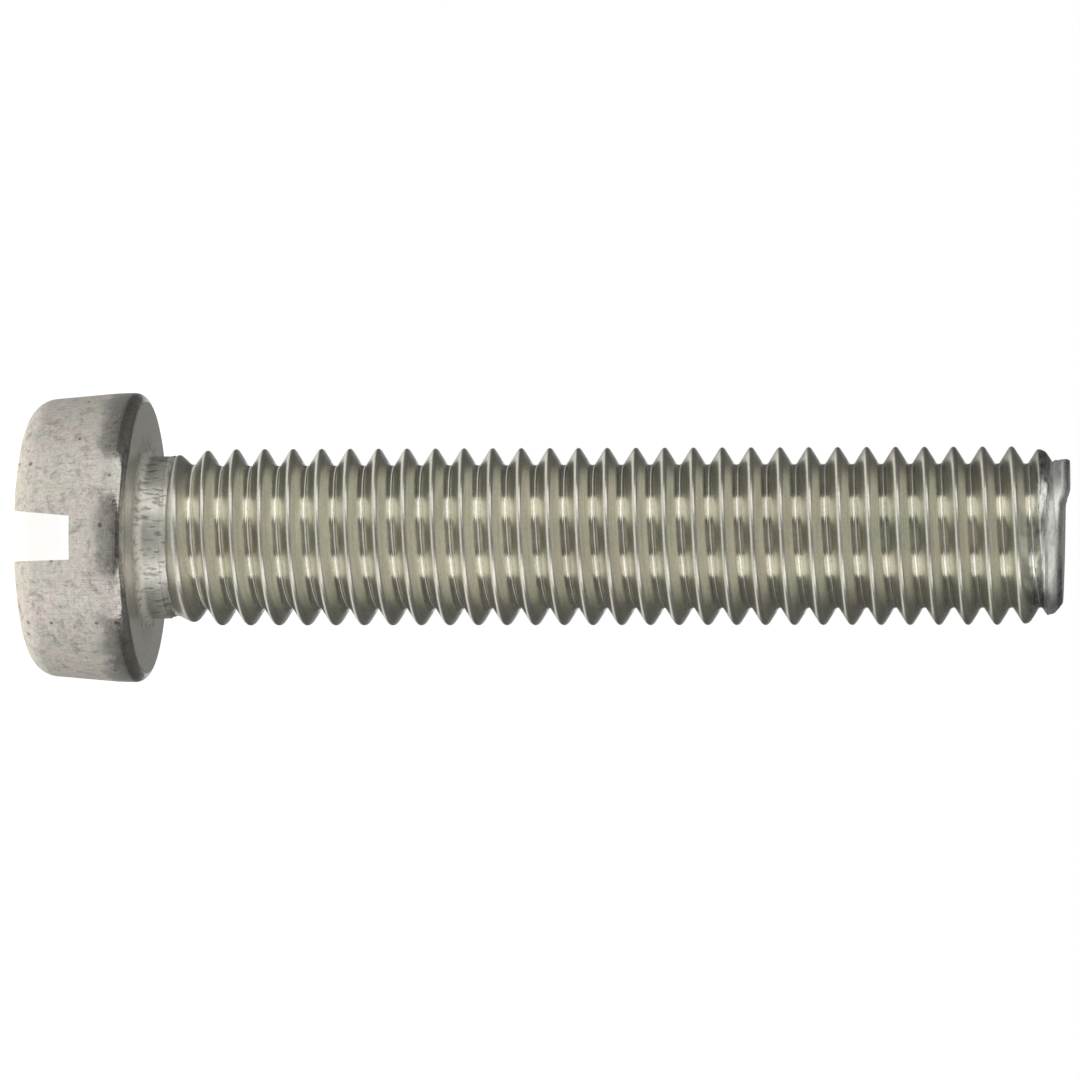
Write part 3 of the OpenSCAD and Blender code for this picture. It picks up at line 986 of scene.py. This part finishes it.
def studio_room(studio):
    """White to the camera. The metal sees a room that is lighter in front and darker behind, and right
    behind the screw the white backdrop."""
    world = bpy.data.worlds.new("studio_room")
    world.use_nodes = True
    tree = world.node_tree
    back = tree.nodes["Background"]
    back.inputs["Color"].default_value = WHITE
    way = add(tree, "ShaderNodeTexCoord", out="Generated")
    known = {
        "camera": add(tree, "ShaderNodeLightPath", out="Is Camera Ray"),
        "behind": add(tree, "ShaderNodeSeparateXYZ", {0: way}, out="Y"),
        "level": studio.room_level,
    }
    # from the front to the back: the way's +y part where each zone starts and is full, and its level
    zones = [
        (-0.88, -0.97, studio.fill_level),
        (0.3, 0.7, studio.back_level),
        (0.965, 0.98, BACKDROP_LEVEL),
    ]
    for start, full, zone_level in zones:
        follow(tree, known, [
            ("share", "SMOOTHSTEP", "behind", start, full),
            ("level", "MIX", "share", "level", zone_level),
        ])
    follow(tree, known, [("shown", "MIX", "camera", "level", 1.0)])
    tree.links.new(known["shown"], back.inputs["Strength"])
    return world


def softbox(name, place, size, level):
    """Puts up a rectangular lamp that points at the screw and whose face has the stated brightness."""
    data = bpy.data.lights.new(name, "AREA")
    data.shape = "RECTANGLE"
    data.size, data.size_y = size
    data.energy = level * math.pi * size[0] * size[1]
    lamp = bpy.data.objects.new(name, data)
    lamp.location = place
    lamp.visible_camera = False
    lamp.rotation_euler = (Vector(LAMP_MIDDLE) - Vector(place)).to_track_quat("-Z", "Y").to_euler()
    bpy.context.scene.collection.objects.link(lamp)


class SCREW_OT_make_screw(bpy.types.Operator):
    """Make the screw: slotted head, neck and rolled thread in one piece"""

    bl_idname = "screw.make_screw"
    bl_label = "Make Screw"

    def execute(self, context):
        scene = context.scene
        sizes = scene.screw_sizes
        finish = scene.screw_finish
        materials = [tumbled_steel(finish), pressed_steel(finish), burnished_steel(finish, sizes)]
        obj = bpy.data.objects.new("screw_body", one_screw(sizes, materials))
        scene.collection.objects.link(obj)
        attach(obj, "root")
        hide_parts("screw")
        return {"FINISHED"}


class SCREW_OT_make_studio(bpy.types.Operator):
    """Make the pale floor, the softboxes and the camera"""

    bl_idname = "screw.make_studio"
    bl_label = "Make Studio"

    def execute(self, context):
        scene = context.scene
        studio = scene.screw_studio
        floor_z = CAD_BOX[0][2]
        bm = bmesh.new()
        bmesh.ops.create_grid(bm, x_segments=1, y_segments=1, size=FLOOR_HALF)
        bmesh.ops.translate(bm, verts=bm.verts, vec=(0, 0, floor_z))
        floor = as_object(bm, "studio_floor")
        floor.data.materials.append(white_paper(studio))
        scene.world = studio_room(studio)
        for name, side in (("softbox_left", -1), ("softbox_right", 1)):
            turn = side * LAMP_TURN
            place = (LAMP_FAR * math.sin(turn), -LAMP_FAR * math.cos(turn), LAMP_UP)
            softbox(name, place, LAMP_SIZE, studio.lamp_level)
        softbox("softbox_top", TOP_PLACE, TOP_SIZE, studio.top_level)

        lens_px = studio.camera_lens / SENSOR_W * IMAGE_W
        data = bpy.data.cameras.new("photo_camera")
        data.lens = studio.camera_lens
        data.sensor_width = SENSOR_W
        data.clip_start = CLIP_START
        data.clip_end = CLIP_END
        camera = bpy.data.objects.new("photo_camera", data)
        camera.matrix_world = camera_frame(studio.camera_far, lens_px)
        scene.collection.objects.link(camera)
        scene.camera = camera
        scene.view_settings.view_transform = "Standard"
        return {"FINISHED"}


class SCREW_PT_panel(bpy.types.Panel):
    """Buttons for the screw and the studio"""

    bl_label = "Machine Screw"
    bl_idname = "SCREW_PT_panel"
    bl_space_type = "VIEW_3D"
    bl_region_type = "UI"
    bl_category = "Screw"

    def draw(self, context):
        layout = self.layout
        layout.operator(SCREW_OT_make_screw.bl_idname)
        layout.operator(SCREW_OT_make_studio.bl_idname)
        for group in (context.scene.screw_sizes, context.scene.screw_finish, context.scene.screw_studio):
            box = layout.box()
            for name in group.__annotations__:
                box.prop(group, name)


CLASSES = (
    ScrewSizes, ScrewFinish, StudioSettings, SCREW_OT_make_screw, SCREW_OT_make_studio, SCREW_PT_panel)


def register():
    for cls in CLASSES:
        bpy.utils.register_class(cls)
    bpy.types.Scene.screw_sizes = PointerProperty(type=ScrewSizes)
    bpy.types.Scene.screw_finish = PointerProperty(type=ScrewFinish)
    bpy.types.Scene.screw_studio = PointerProperty(type=StudioSettings)


def unregister():
    del bpy.types.Scene.screw_sizes
    del bpy.types.Scene.screw_finish
    del bpy.types.Scene.screw_studio
    for cls in reversed(CLASSES):
        bpy.utils.unregister_class(cls)


def main():
    register()
    bpy.ops.screw.make_screw()
    bpy.ops.screw.make_studio()


if __name__ == "__main__":
    main()
